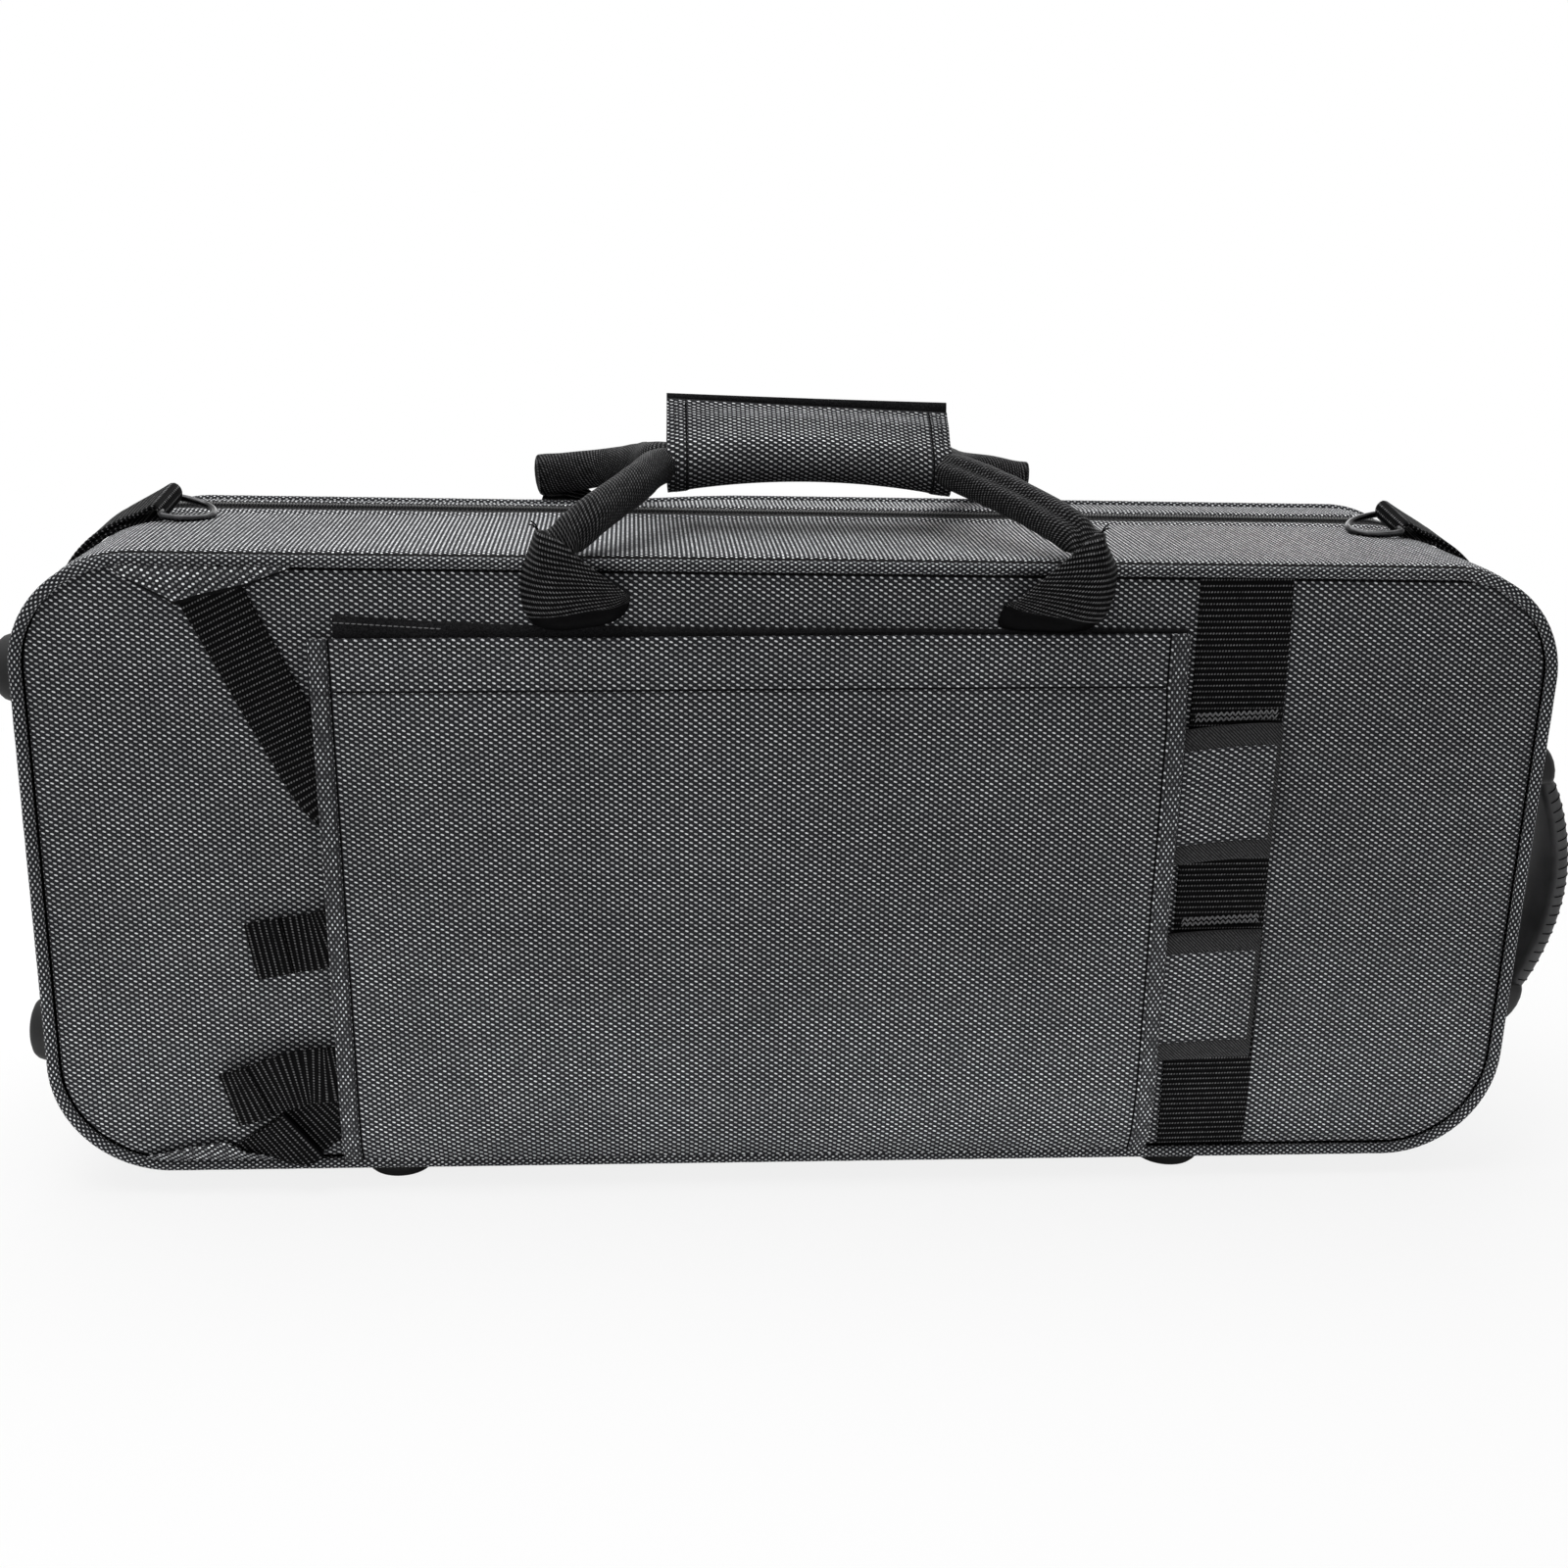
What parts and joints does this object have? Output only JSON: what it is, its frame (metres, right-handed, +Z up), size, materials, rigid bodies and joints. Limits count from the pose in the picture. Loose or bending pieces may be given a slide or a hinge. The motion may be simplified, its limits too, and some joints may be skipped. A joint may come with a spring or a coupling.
{
  "type": "tenor saxophone case",
  "caption": "Soft-covered oblong instrument case with zipped hinged lid, fitted padding, carrying handles, end handle, rubber feet and stowed backpack straps.",
  "frame": {"origin": "middle of the floor area, level with the bottom feet, the case standing upright", "axes": "+X along the case's length towards the end handle, +Y from the strap side towards the lid side, +Z up"},
  "size_m": [0.8476, 0.2296, 0.4218],
  "materials": {
    "woven_fabric": "charcoal ballistic weave with pale flecks, matt",
    "webbing": "black ribbed webbing, matt",
    "zip_coil": "black nylon coil",
    "dark_metal": "dark plated steel wire and castings, semi-gloss",
    "plush_lining": "short black plush over shaped foam",
    "foot_rubber": "black moulded rubber, satin",
    "hook_and_loop": "black hook-and-loop tape",
    "strap_padding": "grey weave over foam, black bound edges",
    "black_plastic": "black moulded plastic, satin",
    "handle_leather": "black stitched grip cover, satin"
  },
  "bodies": {
    "base": {"base_shell": "woven_fabric", "front_piping": "woven_fabric", "base_zip_tape": "webbing", "base_zip_coil": "zip_coil", "hinge_strip_base": "woven_fabric", "base_insert": "plush_lining", "bottom_foot_front_left": "foot_rubber", "bottom_foot_back_left": "foot_rubber", "bottom_foot_front_right": "foot_rubber", "bottom_foot_back_right": "foot_rubber", "end_foot_front_low": "foot_rubber", "end_foot_back_low": "foot_rubber", "end_foot_front_high": "foot_rubber", "end_foot_back_high": "foot_rubber", "hook_strip": "hook_and_loop", "upper_shoulder_strap": "strap_padding", "lower_shoulder_strap": "strap_padding", "upper_adjuster": "black_plastic", "lower_adjuster": "black_plastic", "wide_webbing": "webbing", "upper_strap_webbing": "webbing", "lower_strap_webbing": "webbing", "upper_strap_tail": "webbing", "lower_strap_tail": "webbing", "upper_patch": "woven_fabric", "lower_patch": "woven_fabric", "front_handle_end_left": "webbing", "front_handle_end_right": "webbing", "d_ring_tab_left": "webbing", "d_ring_tab_right": "webbing", "end_handle_cap_low": "black_plastic", "end_handle_cap_high": "black_plastic", "end_handle_rivet_low": "dark_metal", "end_handle_rivet_high": "dark_metal", "end_handle_bow": "handle_leather"},
    "lid": {"lid_shell": "woven_fabric", "lid_piping": "woven_fabric", "lid_zip_tape": "webbing", "lid_zip_coil": "zip_coil", "hinge_strip_lid": "woven_fabric", "lid_pad": "plush_lining", "rear_handle_end_left": "webbing", "rear_handle_end_right": "webbing"},
    "strap_cover": {"strap_cover": "woven_fabric", "loop_strip": "hook_and_loop"},
    "front_handle": {"front_handle_webbing": "webbing", "grip_wrap": "woven_fabric"},
    "grip_flap": {"grip_flap": "woven_fabric"},
    "rear_handle": {"rear_handle_webbing": "webbing"},
    "left_ring": {"d_ring_left": "dark_metal"},
    "right_ring": {"d_ring_right": "dark_metal"},
    "upper_slider": {"upper_slider": "dark_metal"},
    "upper_pull": {"upper_pull": "dark_metal"},
    "lower_slider": {"lower_slider": "dark_metal"},
    "lower_pull": {"lower_pull": "dark_metal"}
  },
  "joints": [
    {"name": "lid_hinge", "type": "hinge", "parent": "base", "child": "lid", "pos_m": [0, 0.045, 0.0134], "axis": [-1, 0, 0], "range_deg": [0, 110], "deforming": ["grip_flap"]},
    {"name": "strap_cover_hinge", "type": "hinge", "parent": "base", "child": "strap_cover", "pos_m": [0, -0.1048, 0.0168], "axis": [1, 0, 0], "range_deg": [0, 90]},
    {"name": "front_handle_hinge", "type": "hinge", "parent": "base", "child": "front_handle", "pos_m": [-0.008, -0.107, 0.3578], "axis": [1, 0, 0], "range_deg": [0, 150], "deforming": ["grip_flap"]},
    {"name": "grip_flap_hinge", "type": "hinge", "parent": "front_handle", "child": "grip_flap", "pos_m": [-0.008, 0, 0.3718], "axis": [-1, 0, 0], "range_deg": [0, 70]},
    {"name": "rear_handle_hinge", "type": "hinge", "parent": "lid", "child": "rear_handle", "pos_m": [-0.008, 0.107, 0.3578], "axis": [-1, 0, 0], "range_deg": [0, 150], "deforming": ["grip_flap"]},
    {"name": "left_ring_hinge", "type": "hinge", "parent": "base", "child": "left_ring", "pos_m": [-0.352, 0.008, 0.3618], "axis": [0, -1, 0], "range_deg": [0, 150]},
    {"name": "right_ring_hinge", "type": "hinge", "parent": "base", "child": "right_ring", "pos_m": [0.33, 0.008, 0.3618], "axis": [0, 1, 0], "range_deg": [0, 150]},
    {"name": "upper_slider_slide", "type": "slide", "parent": "base", "child": "upper_slider", "axis": [0, 0, 1], "range_m": [0, 0.08]},
    {"name": "upper_pull_hinge", "type": "hinge", "parent": "upper_slider", "child": "upper_pull", "pos_m": [0.3941, 0.045, 0.20095], "axis": [0, -1, 0], "range_deg": [0, 140]},
    {"name": "lower_slider_slide", "type": "slide", "parent": "base", "child": "lower_slider", "axis": [0, 0, -1], "range_m": [0, 0.09]},
    {"name": "lower_pull_hinge", "type": "hinge", "parent": "lower_slider", "child": "lower_pull", "pos_m": [0.3941, 0.045, 0.17665], "axis": [0, -1, 0], "range_deg": [0, 140]}
  ]
}
